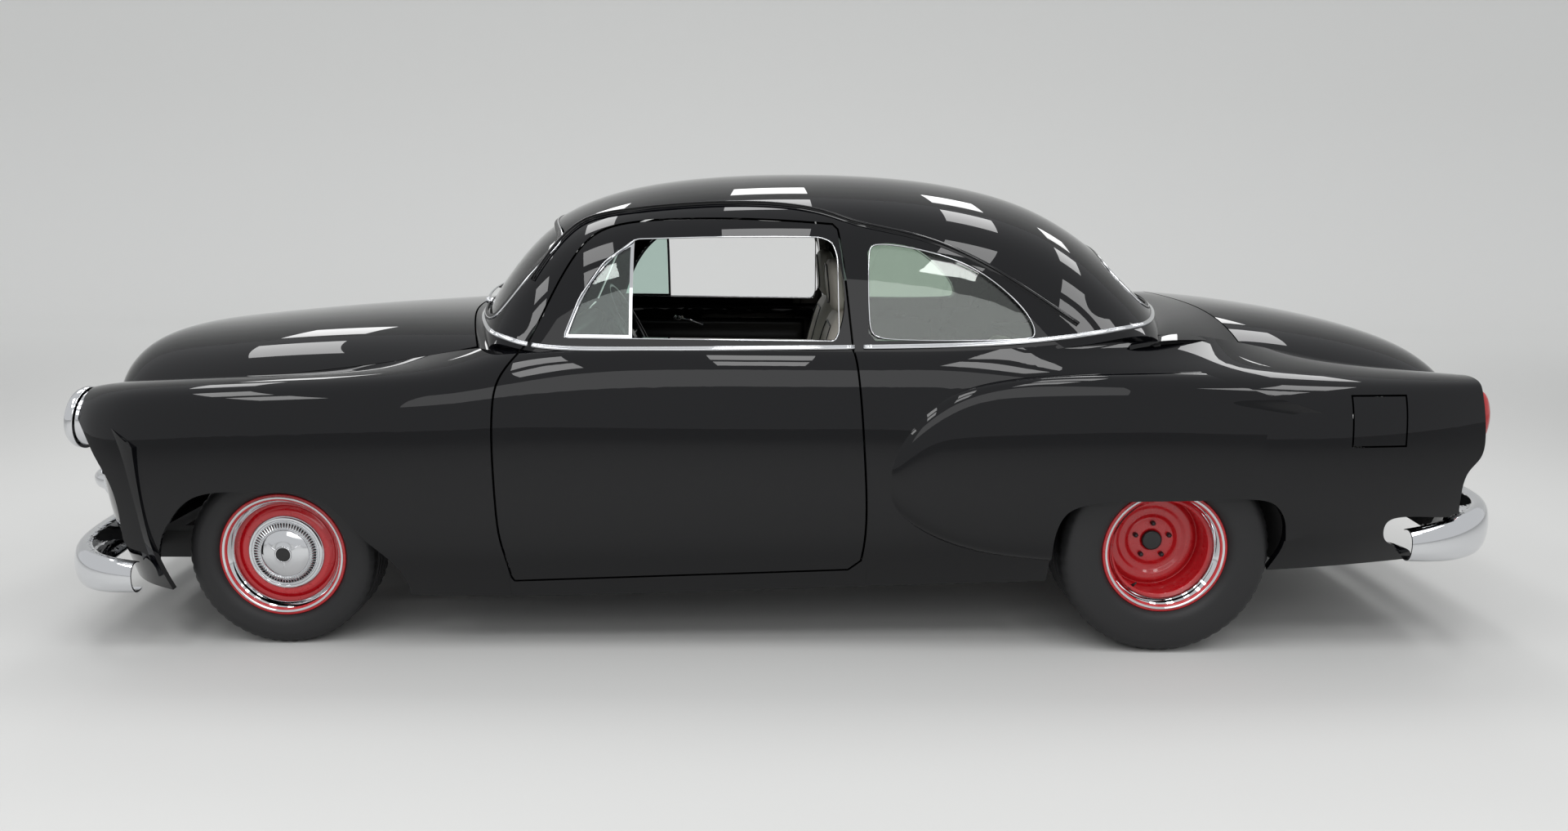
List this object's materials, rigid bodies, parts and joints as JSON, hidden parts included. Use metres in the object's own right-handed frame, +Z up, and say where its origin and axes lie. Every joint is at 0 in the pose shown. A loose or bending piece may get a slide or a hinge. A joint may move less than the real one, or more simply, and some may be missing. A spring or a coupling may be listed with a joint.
{
  "type": "coupe",
  "caption": "Lowered two-door coupe with a rounded roof, hinged doors, hood, trunk lid and fuel flap, and steered front wheels.",
  "frame": {"origin": "on the ground, under the middle of the box round the whole car", "axes": "+X forward, +Y to the car's left, +Z up"},
  "size_m": [4.966, 1.9052, 1.5728],
  "materials": {
    "black_paint": "gloss",
    "glass": "polished",
    "vent_glass": "polished",
    "chrome": "polished",
    "hub_cap": "polished",
    "lamp_red": "gloss",
    "red_steel": "gloss",
    "tyre": "matte",
    "underbody": "satin",
    "exhaust_steel": "satin",
    "engine_iron": "rough",
    "floor_paint": "satin",
    "dash": "gloss",
    "seat_leather": "satin",
    "steering": "gloss"
  },
  "bodies": {
    "car": {"cowl": "black_paint", "dashboard": "dash", "deck": "black_paint", "drive_line": "underbody", "engine": "engine_iron", "exhaust": "exhaust_steel", "floor_pan": "floor_paint", "frame": "underbody", "front_bumper": "chrome", "front_fender_left": "black_paint", "front_fender_right": "black_paint", "front_panel": "black_paint", "front_seats": "seat_leather", "front_suspension": "underbody", "fuel_tank": "underbody", "grille": "chrome", "headlamps": "chrome", "quarter_glass": "glass", "quarter_left": "black_paint", "quarter_right": "black_paint", "rear_axle": "underbody", "rear_bumper": "chrome", "rear_seat": "seat_leather", "rear_shelf": "dash", "rear_suspension": "underbody", "rear_window": "glass", "roof": "black_paint", "sills": "black_paint", "tail_lamps": "lamp_red", "tail_panel": "black_paint", "windshield": "glass"},
    "door_left": {"door_left": "black_paint", "vent_frame_left": "chrome", "vent_glass_left": "vent_glass"},
    "door_right": {"door_right": "black_paint", "vent_frame_right": "chrome", "vent_glass_right": "vent_glass"},
    "hood": {"hood": "black_paint"},
    "trunk_lid": {"trunk_lid": "black_paint"},
    "fuel_flap": {"fuel_flap": "black_paint"},
    "knuckle_left": {"knuckle_left": "underbody"},
    "knuckle_right": {"knuckle_right": "underbody"},
    "front_wheel_left": {"front_tyre_left": "tyre", "front_wheel_left": "red_steel", "hub_cap_left": "hub_cap"},
    "front_wheel_right": {"front_tyre_right": "tyre", "front_wheel_right": "red_steel", "hub_cap_right": "hub_cap"},
    "rear_wheel_left": {"rear_tyre_left": "tyre", "rear_wheel_left": "red_steel"},
    "rear_wheel_right": {"rear_tyre_right": "tyre", "rear_wheel_right": "red_steel"},
    "steering_wheel": {"steering_wheel": "steering"}
  },
  "joints": [
    {"name": "door_left_hinge", "type": "hinge", "parent": "car", "child": "door_left", "pos_m": [0.908, 0.922, 0.72], "axis": [0, 0, -1], "range_deg": [0, 62]},
    {"name": "door_right_hinge", "type": "hinge", "parent": "car", "child": "door_right", "pos_m": [0.908, -0.922, 0.72], "axis": [0, 0, 1], "range_deg": [0, 62]},
    {"name": "hood_hinge", "type": "hinge", "parent": "car", "child": "hood", "pos_m": [1.033, 0, 1.1], "axis": [0, -1, 0], "range_deg": [0, 48]},
    {"name": "trunk_hinge", "type": "hinge", "parent": "car", "child": "trunk_lid", "pos_m": [-1.447, 0, 1.13], "axis": [0, 1, 0], "range_deg": [0, 60]},
    {"name": "fuel_flap_hinge", "type": "hinge", "parent": "car", "child": "fuel_flap", "pos_m": [-1.886, 0.93, 0.872], "axis": [1, 0, 0], "range_deg": [0, 90]},
    {"name": "steer_left", "type": "hinge", "parent": "car", "child": "knuckle_left", "pos_m": [1.683, 0.61, 0.305], "axis": [0, 0, 1], "range_deg": [-30, 30]},
    {"name": "steer_right", "type": "hinge", "parent": "car", "child": "knuckle_right", "pos_m": [1.683, -0.61, 0.305], "axis": [0, 0, 1], "range_deg": [-30, 30]},
    {"name": "steering_wheel_turn", "type": "hinge", "parent": "car", "child": "steering_wheel", "pos_m": [0.55549, 0.37, 1], "axis": [-0.8829, 0, 0.4695], "range_deg": [-540, 540]},
    {"name": "front_left_spin", "type": "hinge", "parent": "knuckle_left", "child": "front_wheel_left", "pos_m": [1.683, 0.72, 0.305], "axis": [0, 1, 0], "continuous": true},
    {"name": "front_right_spin", "type": "hinge", "parent": "knuckle_right", "child": "front_wheel_right", "pos_m": [1.683, -0.72, 0.305], "axis": [0, 1, 0], "continuous": true},
    {"name": "rear_left_spin", "type": "hinge", "parent": "car", "child": "rear_wheel_left", "pos_m": [-1.238, 0.745, 0.348], "axis": [0, 1, 0], "continuous": true},
    {"name": "rear_right_spin", "type": "hinge", "parent": "car", "child": "rear_wheel_right", "pos_m": [-1.238, -0.745, 0.348], "axis": [0, 1, 0], "continuous": true}
  ],
  "couplings": [
    {"joint": "steer_right", "follows": "steer_left", "ratio": 1},
    {"joint": "steering_wheel_turn", "follows": "steer_left", "ratio": 18}
  ]
}
